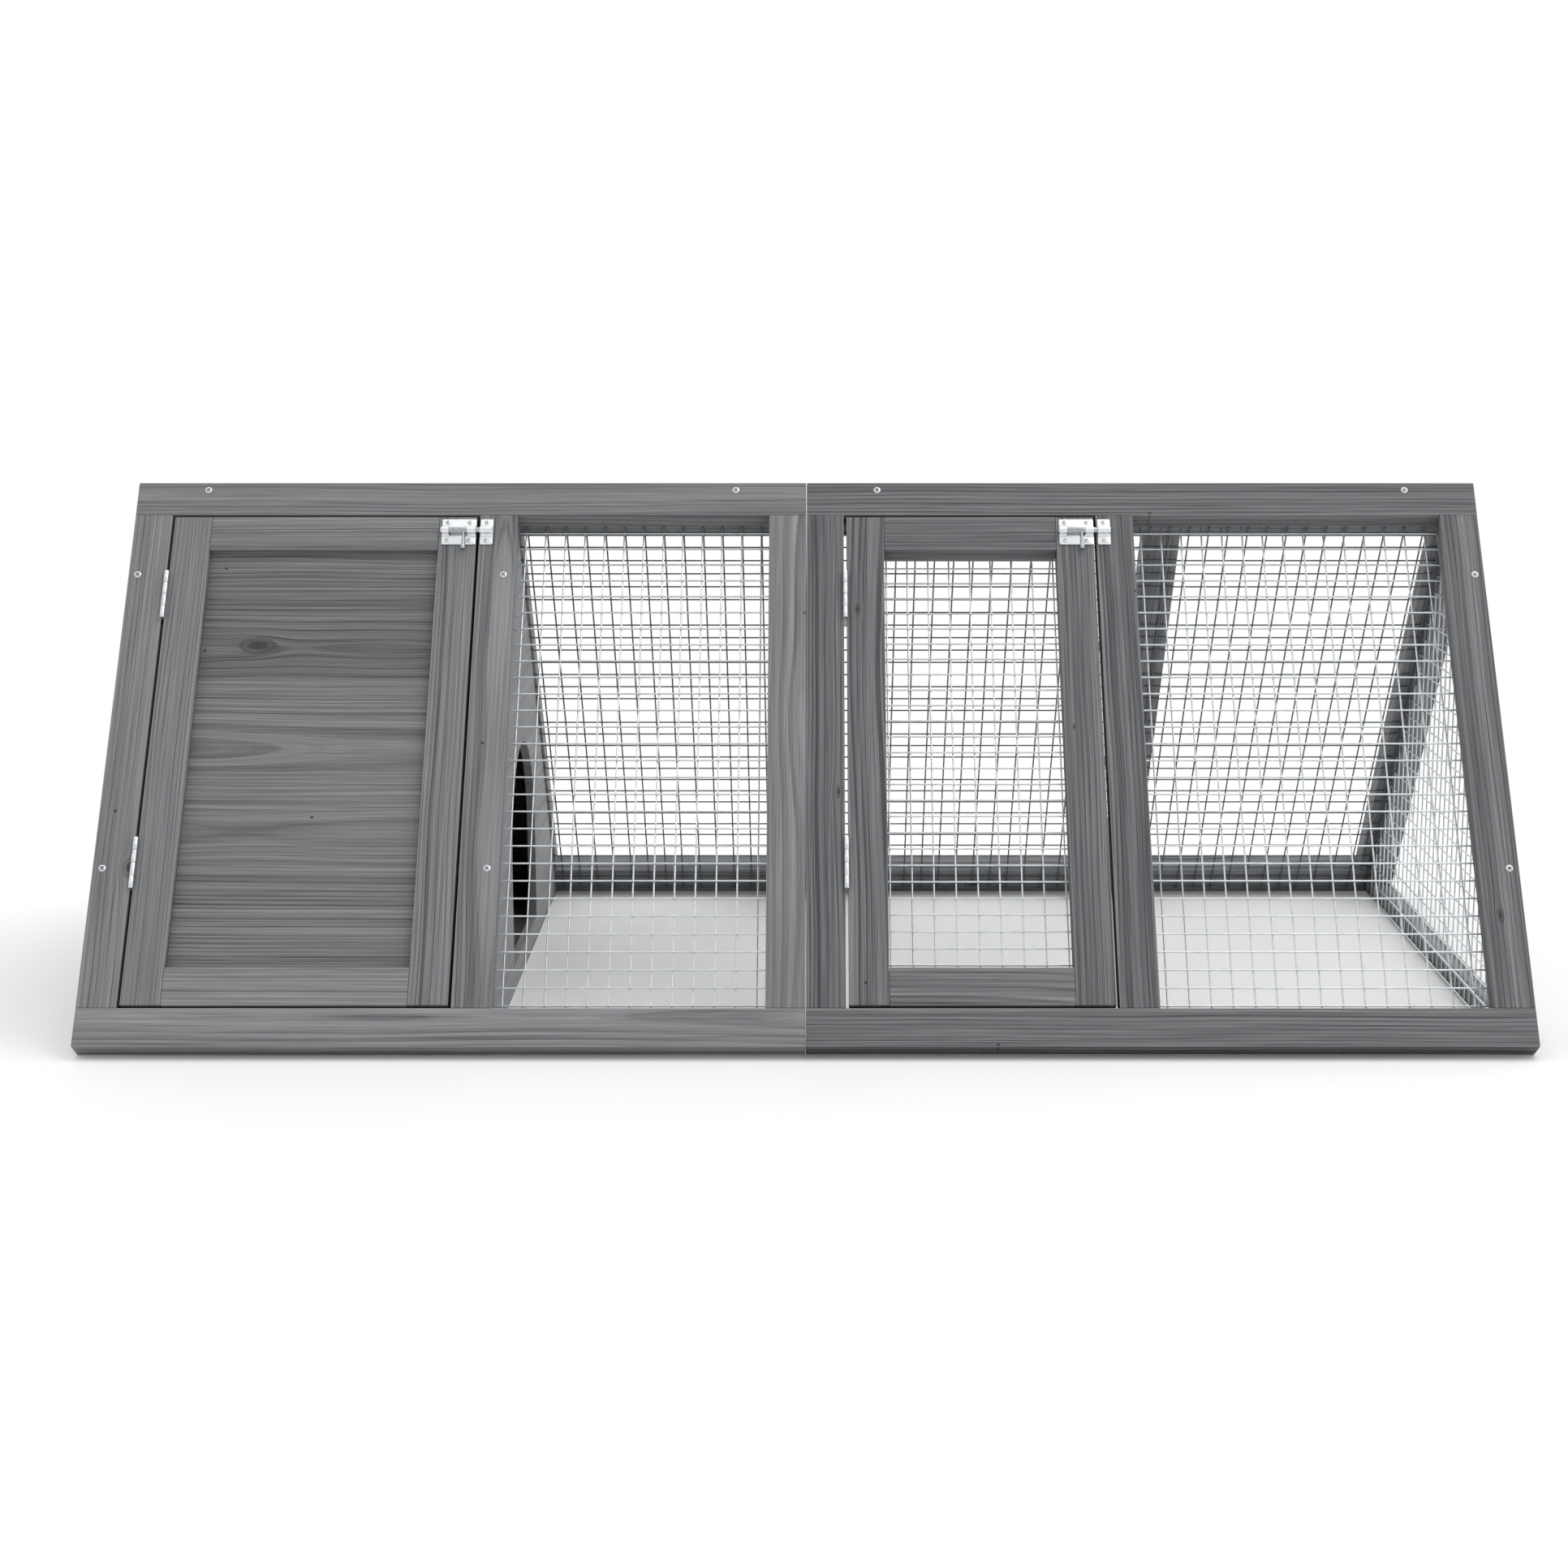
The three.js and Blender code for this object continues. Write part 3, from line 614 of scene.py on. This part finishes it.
from_partition = PARTITION_X + PARTITION_T / 2 + JOINT
END_MESH_X = MODULE - BATTEN_DEPTH - JOINT - MESH_T
mesh_outer = END_MESH_X - JOINT
mesh_y = (MESH_FLOOR - 1, MESH_TOP)
welded_mesh(FRONT, "front_left_mesh", (from_partition, MESH_LAP - FRAME_W), mesh_y, -273.3, 46.1)
welded_mesh(FRONT, "front_right_mesh", (MID_STILE_X + FRAME_W - MESH_LAP, mesh_outer), mesh_y,
            325.8, 46.1, pitch_x=19.8)
welded_mesh(BACK, "back_left_mesh", (FRAME_W - MESH_LAP, -from_partition), mesh_y, 272.9, MESH_FLOOR)
back_stile_middle = -BACK_STILE_X - FRAME_W / 2
welded_mesh(BACK, "back_right_seam_mesh", (back_stile_middle + JOINT, MESH_LAP - FRAME_W), mesh_y,
            -31.0, MESH_FLOOR)
welded_mesh(BACK, "back_right_outer_mesh", (-mesh_outer, back_stile_middle - JOINT), mesh_y,
            -374.9, MESH_FLOOR)
welded_mesh(FRONT, "right_door_mesh",
            (RIGHT_DOOR_X[0] + FRAME_W - MESH_LAP, RIGHT_DOOR_X[1] - FRAME_W + MESH_LAP),
            (DOOR_Y[0] + FRAME_W - MESH_LAP, DOOR_Y[1] - FRAME_W + MESH_LAP), 77.2, 85.4,
            pitch_x=20.2, pitch_y=16.45, body="right_door")


def end_mesh():
    """The triangle of mesh on the inner side of the right end's battens."""
    bm = bmesh.new()
    clear = JOINT + MESH_T + JOINT + WIRE_R
    near, far = END_MESH_X + MESH_T - WIRE_R, END_MESH_X + MESH_T - 2.75 * WIRE_R
    for y in along_span(0.0, PITCH_X, -half_room(3, clear), half_room(3, clear)):
        top = room_top(clear, abs(y))
        if top > 12:
            wire(bm, (near, y, 3), (near, y, top), PITCH_Y)
    for z in along_span(4.0, PITCH_Y, 3, room_top(clear) - 4):
        reach = half_room(z, clear)
        wire(bm, (far, -reach, z), (far, reach, z), PITCH_X)
    place("right_end_mesh", bm, GROUND, BRIGHT_WIRE, "hutch", ["right_end_mesh"])


end_mesh()

# ---------------------------------------------------------------------------------------
# Butt hinges
# Pressed steel, 51 mm long, two to a door. The leaves stand in the gap between door and
# frame, and only the knuckles show. The pin stays with the frame's leaf.

HINGE_LENGTH = 51
HINGE_HEIGHTS = (("lower", 175.5), ("upper", 454.5))
KNUCKLES = 4
KNUCKLE_R = 2.4
PIN_R = 1.2
PIN_UP = 2.6
LEAF_T = 0.9
LEAF_DEPTH = 16
# Near-white plating that picks the knuckles out from the grey timber.
HINGE_METAL = bright_metal("zinc_plated_hinge_steel", "#e2e4e6", "#d0d3d5", 0.24, 0.34, 0.25)


def turned(bm, profile, space=None, sides=28):
    """A solid of revolution about y, from (radius, height) points that start and end on
    the axis."""
    space = space or Matrix.Identity(4)
    rings = []
    for radius, height in profile:
        if radius == 0:
            rings.append([bm.verts.new(space @ Vector((0, height, 0)))])
            continue
        angles = (2 * math.pi * k / sides for k in range(sides))
        rings.append([bm.verts.new(space @ Vector((radius * math.sin(a), height, radius * math.cos(a))))
                      for a in angles])
    for low, high in zip(rings, rings[1:]):
        for k in range(sides):
            near, far = k, (k + 1) % sides
            if len(low) == 1:
                bm.faces.new((low[0], high[near], high[far]))
            elif len(high) == 1:
                bm.faces.new((low[near], high[0], low[far]))
            else:
                bm.faces.new((low[near], high[near], high[far], low[far]))


def rounded_rod(radius, low, high, ease):
    """The profile of a round bar whose end edges are eased."""
    shoulder = ease * 0.3
    foot = [(0, low), (radius - ease, low), (radius - shoulder, low + shoulder), (radius, low + ease)]
    head = [(radius, high - ease), (radius - shoulder, high - shoulder), (radius - ease, high), (0, high)]
    return foot + head


def take_in(bm, part):
    """Adds one working mesh to another and frees it."""
    loose = bpy.data.meshes.new("part")
    part.to_mesh(loose)
    part.free()
    bm.from_mesh(loose)
    bpy.data.meshes.remove(loose)


def add_bar(bm, xs, ys, zs, bevel):
    """Adds an eased box to a mesh."""
    part = bar([b - a for a, b in (xs, ys, zs)], bevel)
    bmesh.ops.translate(part, vec=[(a + b) / 2 for a, b in (xs, ys, zs)], verts=part.verts)
    take_in(bm, part)


def hinge_half(prefix, label, x, y, hand):
    """The leaf on the frame (hand -1), with the pin, or on the door (hand 1)."""
    bm = bmesh.new()
    inner = DOOR_GAP / 2 - JOINT - LEAF_T
    pitch = HINGE_LENGTH / KNUCKLES
    leaf_x = (inner, inner + LEAF_T) if hand > 0 else (-inner - LEAF_T, -inner)
    add_bar(bm, leaf_x, (-HINGE_LENGTH / 2, HINGE_LENGTH / 2),
            (-LEAF_DEPTH - PIN_UP, -KNUCKLE_R - JOINT), 0.2)
    for k in range(KNUCKLES):
        if k % 2 == (1 if hand > 0 else 0):
            middle = HINGE_LENGTH / 2 - (k + 0.5) * pitch
            turned(bm, rounded_rod(KNUCKLE_R, middle - pitch / 2 + 0.12, middle + pitch / 2 - 0.12, 0.35))
            add_bar(bm, leaf_x, (middle - pitch / 2 + 0.15, middle + pitch / 2 - 0.15),
                    (-KNUCKLE_R - 2, -0.4), 0.1)
    if hand < 0:
        turned(bm, rounded_rod(PIN_R, -HINGE_LENGTH / 2 + 0.1, HINGE_LENGTH / 2 - 0.1, 0.2), sides=16)
    name = f"{prefix}_{label}_hinge_{'door' if hand > 0 else 'frame'}_leaf"
    place(name, bm, FRONT @ Matrix.Translation((x, y, PIN_UP)), HINGE_METAL,
          prefix if hand > 0 else "hutch", [name])


for prefix, span in (("left_door", LEFT_DOOR_X), ("right_door", RIGHT_DOOR_X)):
    for label, height in HINGE_HEIGHTS:
        for hand in (-1, 1):
            hinge_half(prefix, label, span[0] - DOOR_GAP / 2, height, hand)

# ---------------------------------------------------------------------------------------
# Screws
# Bright zinc cross-head screws: ten in the frames, and smaller ones in the bolts' plates.

# Bright plating: small pale dots along the frames.
SCREW_METAL = bright_metal("zinc_plated_screw_steel", "#d9dbdd", "#cdd0d2", 0.22, 0.3, 0.4)
FRAME_SCREW_R = 3.5
PLATE_SCREW_R = 2.5


def screw_head(radius):
    """A low domed head with a cross recess sunk in it, standing on z = 0."""
    bm = bmesh.new()
    stand = Matrix.Rotation(math.pi / 2, 4, "X")
    rise = radius * 0.3
    dome = [(radius * math.cos(a), 0.15 + rise * math.sin(a)) for a in
            (math.pi / 2 * k / 5 for k in range(5))]
    turned(bm, [(0, -0.6), (radius * 0.96, -0.6), (radius, -0.4)] + dome + [(0, 0.15 + rise)], stand, 32)
    head = plain_object("screw_head", bm, Matrix.Identity(4))
    arm, width, depth = radius * 0.6, radius * 0.15, rise * 2.4
    for a, b in ((arm, width), (width, arm)):
        recess = bmesh.new()
        bmesh.ops.create_cube(recess, size=1.0)
        bmesh.ops.scale(recess, vec=(2 * a, 2 * b, depth), verts=recess.verts)
        bmesh.ops.translate(recess, vec=(0, 0, 0.15 + rise), verts=recess.verts)
        saw_out(head, plain_object("recess", recess, Matrix.Identity(4)))
    mesh = head.data
    bpy.data.objects.remove(head)
    return mesh


HEADS = {r: screw_head(r) for r in (FRAME_SCREW_R, PLATE_SCREW_R)}


def screw(name, x, y, z, radius, body, turn=45):
    """Drives a screw into the front at a point. turn is how its cross stands."""
    bm = bmesh.new()
    bm.from_mesh(HEADS[radius])
    space = FRONT @ Matrix.Translation((x, y, z)) @ Matrix.Rotation(math.radians(turn), 4, "Z")
    place(name, bm, space, SCREW_METAL, body, [])


SCREW_IN_TOP = 8.5
SCREW_IN_SIDE = 9
SCREW_IN_MID = 10.5
for i, x in enumerate((-581.9, -68.7, 68.7, 581.9)):
    screw(f"top_rail_screw_{i + 1}", x, SLOPE - SCREW_IN_TOP, 0, FRAME_SCREW_R, "hutch",
          38 + 7 * i)
for i, x in enumerate((-MODULE + SCREW_IN_SIDE, -MID_STILE_X - SCREW_IN_MID, MODULE - SCREW_IN_SIDE)):
    for label, y in (("lower", 171.3), ("upper", 477.5)):
        screw(f"stile_screw_{i + 1}_{label}", x, y, 0, FRAME_SCREW_R, "hutch",
              45 + 6 * (i - 1))

# ---------------------------------------------------------------------------------------
# Barrel bolts
# One to a door: a plate with two pressed straps, a rod that slides through them by a
# turned knob, and a keeper on the frame's mid stile. Each is held by cross-head screws.

BOLT_DROP = 56.1
PLATE_L = 33
PLATE_H = 28
PLATE_T = 1.2
KEEPER_X = (4.0, 16.2)
ROD_UP = 4.5
ROD_R = 3.0
ROD_BACK = 1.3  # the rod shows past the plate's hinge end
ROD_SHOT = 14.6  # and past the door's edge, into the keeper
STRAP_R = 3.75
STRAP_T = 0.6
STRAPS = ((-PLATE_L, -PLATE_L + 7), (-8, 0))
KNOB_X = -11.7
KNOB_DROP = 20.7
# The rod and knob are painted a greyer zinc than the plates and straps: painted shade for the shade round
# the rod, so the rod shows on them.
ROD_METAL_PAINTED_SHADE = bright_metal("zinc_rod_steel_painted_shade", "#b0b4b7", "#a2a6a9", 0.2, 0.26, 0.3)
BOLT_METAL = bright_metal("zinc_plated_bolt_steel", "#edeff0", "#e5e7e9", 0.26, 0.3, 0.3)


def strap(bm, xs):
    """A loop pressed up from a plate, over the rod."""
    steps = 14
    foot = JOINT + PLATE_T * 0.5 - ROD_UP
    flare = 1.1
    outer = [(STRAP_R * math.cos(a), STRAP_R * math.sin(a)) for a in
             (math.pi * (k / steps) for k in range(steps + 1))]
    inside = STRAP_R - STRAP_T
    inner = [(inside * math.cos(a), inside * math.sin(a)) for a in
             (math.pi * (1 - k / steps) for k in range(steps + 1))]
    outline = [(STRAP_R + flare, foot), (STRAP_R, foot + flare)] + outer
    outline += [(-STRAP_R, foot + flare), (-STRAP_R - flare, foot), (-inside, foot)]
    outline += inner + [(inside, foot)]
    faces = []
    for x in xs:
        faces.append([bm.verts.new((x, y, z)) for y, z in outline])
    near, far = faces
    count = len(outline)
    for k in range(count):
        bm.faces.new((near[k], near[(k + 1) % count], far[(k + 1) % count], far[k]))
    bm.faces.new(near[::-1])
    bm.faces.new(far)


def plate(bm, xs):
    """A flat plate with rounded corners, its underside just clear of the timber."""
    part = bar((xs[1] - xs[0], PLATE_H, PLATE_T), 0)
    upright_edges = [e for e in part.edges if abs(e.verts[0].co.z - e.verts[1].co.z) > PLATE_T / 2]
    bmesh.ops.bevel(part, geom=upright_edges, offset=1.2, segments=4, profile=0.5, affect="EDGES")
    top = [e for e in part.edges if all(v.co.z > 0 for v in e.verts)]
    bmesh.ops.bevel(part, geom=top, offset=0.25, segments=2, profile=0.5, affect="EDGES")
    bmesh.ops.translate(part, vec=((xs[0] + xs[1]) / 2, 0, JOINT + PLATE_T / 2 - ROD_UP),
                        verts=part.verts)
    take_in(bm, part)


def barrel_bolt(prefix, door_edge):
    centre = (door_edge - 0.1, SLOPE - BOLT_DROP, ROD_UP)
    space = FRONT @ Matrix.Translation(centre)
    rod_body = prefix.replace("door", "bolt")

    body = bmesh.new()
    plate(body, (-PLATE_L, 0))
    for xs in STRAPS:
        strap(body, xs)
    bmesh.ops.recalc_face_normals(body, faces=body.faces[:])
    place(f"{prefix}_bolt_body", body, space, BOLT_METAL, prefix, [f"{prefix}_bolt_body"])

    keeper = bmesh.new()
    plate(keeper, KEEPER_X)
    strap(keeper, (KEEPER_X[0] + 0.2, KEEPER_X[1] - 0.2))
    bmesh.ops.recalc_face_normals(keeper, faces=keeper.faces[:])
    place(f"{prefix}_bolt_keeper", keeper, space, BOLT_METAL, "hutch", [f"{prefix}_bolt_keeper"])

    rod = bmesh.new()
    lying = Matrix.Rotation(-math.pi / 2, 4, "Z")
    turned(rod, rounded_rod(ROD_R, -PLATE_L - ROD_BACK, ROD_SHOT, 0.6), lying)
    knob = [(0, 0), (1.35, 0), (1.35, -KNOB_DROP * 0.45), (1.7, -KNOB_DROP * 0.6),
            (2.2, -KNOB_DROP * 0.85), (2.35, -KNOB_DROP + 0.8), (2.0, -KNOB_DROP), (0, -KNOB_DROP)]
    turned(rod, knob[::-1], Matrix.Translation((KNOB_X, 0, 0)), 20)
    place(f"{prefix}_bolt_rod", rod, space, ROD_METAL_PAINTED_SHADE, rod_body, [f"{prefix}_bolt_rod"])

    surface = JOINT + PLATE_T
    for label, x, rides in (("hinge_side", -27.8, prefix), ("latch_side", -6.6, prefix),
                            ("keeper", 9.9, "hutch")):
        for end, y in (("upper", 10.3), ("lower", -9.7)):
            screw(f"{prefix}_bolt_{label}_{end}_screw", centre[0] + x, centre[1] + y, surface,
                  PLATE_SCREW_R, rides, 40 + 5 * draw.random())


barrel_bolt("left_door", LEFT_DOOR_X[1])
barrel_bolt("right_door", RIGHT_DOOR_X[1])

# ---------------------------------------------------------------------------------------
# Studio
# A white floor before a white backdrop, lit mostly from behind, above and the right, and
# the camera a little above the ridge, looking down at the front.


SKY_STRENGTH = 1.14
SKY_LEAN = (0.16, 0.4, 0.08)  # how much brighter the sky is towards x, y and z
GLOW_FROM, GLOW_FULL = 0.55, 1.7  # metres out over which the floor turns to backdrop
LAMP_WATTS = 9
LENS_MM = 62.1
LOOK_DOWN = 10.8


def studio_floor():
    """Matt white floor that glows faintly far out, so that it melts into the white sky."""
    material, tree, shader = new_material("matt_white_floor")
    at = node(tree, "TexCoord").outputs["Object"]
    cloud = node(tree, "TexNoise", {"Vector": at, "Scale": 0.7, "Detail": 2.0}).outputs["Fac"]
    tree.links.new(blend_colour(tree, cloud, linear("#f0f0f1"), linear("#f2f2f2")),
                   shader.inputs["Base Color"])
    shader.inputs["Roughness"].default_value = 0.9
    shader.inputs["Specular IOR Level"].default_value = 0.1
    distance = node(tree, "VectorMath", [at], operation="LENGTH").outputs["Value"]
    glow = node(tree, "Emission", {"Color": (1, 1, 1, 1), "Strength": 1.0})
    mixed = node(tree, "MixShader", [spread(tree, distance, GLOW_FROM, GLOW_FULL),
                                     shader.outputs[0], glow.outputs[0]])
    tree.links.new(mixed.outputs[0], tree.nodes["Material Output"].inputs["Surface"])
    bm = bmesh.new()
    bmesh.ops.create_grid(bm, x_segments=1, y_segments=1, size=60)
    floor = plain_object("studio_floor", bm, Matrix.Identity(4))
    floor.data.materials.append(material)


def studio_light():
    """A white backdrop, and light that comes from above, from behind and from the right."""
    world = bpy.data.worlds.new("white_studio")
    world.use_nodes = True
    tree = world.node_tree
    tree.nodes.clear()
    towards = node(tree, "TexCoord").outputs["Generated"]
    lean = node(tree, "VectorMath", [towards, SKY_LEAN], operation="DOT_PRODUCT").outputs["Value"]
    sky = node(tree, "Background", {"Strength": calc(tree, "ADD", lean, SKY_STRENGTH)})
    backdrop = node(tree, "Background", {"Color": (1, 1, 1, 1), "Strength": 1.0})
    sky.inputs["Color"].default_value = (1, 1, 1, 1)
    seen = node(tree, "LightPath").outputs["Is Camera Ray"]
    mixed = node(tree, "MixShader", [seen, sky.outputs[0], backdrop.outputs[0]])
    node(tree, "OutputWorld", {"Surface": mixed.outputs[0]})
    bpy.context.scene.world = world
    lamp = bpy.data.lights.new("softbox", "AREA")
    lamp.shape, lamp.size, lamp.size_y, lamp.energy = "RECTANGLE", 2.0, 1.4, LAMP_WATTS
    held = bpy.data.objects.new("softbox", lamp)
    bpy.context.scene.collection.objects.link(held)
    held.location = (1.3, -0.4, 2.6)
    held.rotation_euler = (Vector((0, 0, 0.2)) - held.location).to_track_quat("-Z", "Y").to_euler()


def camera():
    """A long lens just above the height of a crouching person's eye."""
    lens = bpy.data.cameras.new("camera")
    lens.lens, lens.sensor_width, lens.shift_x = LENS_MM, 36, -0.0207
    held = bpy.data.objects.new("camera", lens)
    bpy.context.scene.collection.objects.link(held)
    held.location = (0.0097, -2.645, 0.689)
    held.rotation_euler = (math.radians(90 - LOOK_DOWN), 0, 0)
    bpy.context.scene.camera = held


studio_floor()
studio_light()
camera()
bpy.context.scene.view_settings.view_transform = "Standard"

# The screws have their own copies of the heads, so the patterns go.
for head in HEADS.values():
    bpy.data.meshes.remove(head)
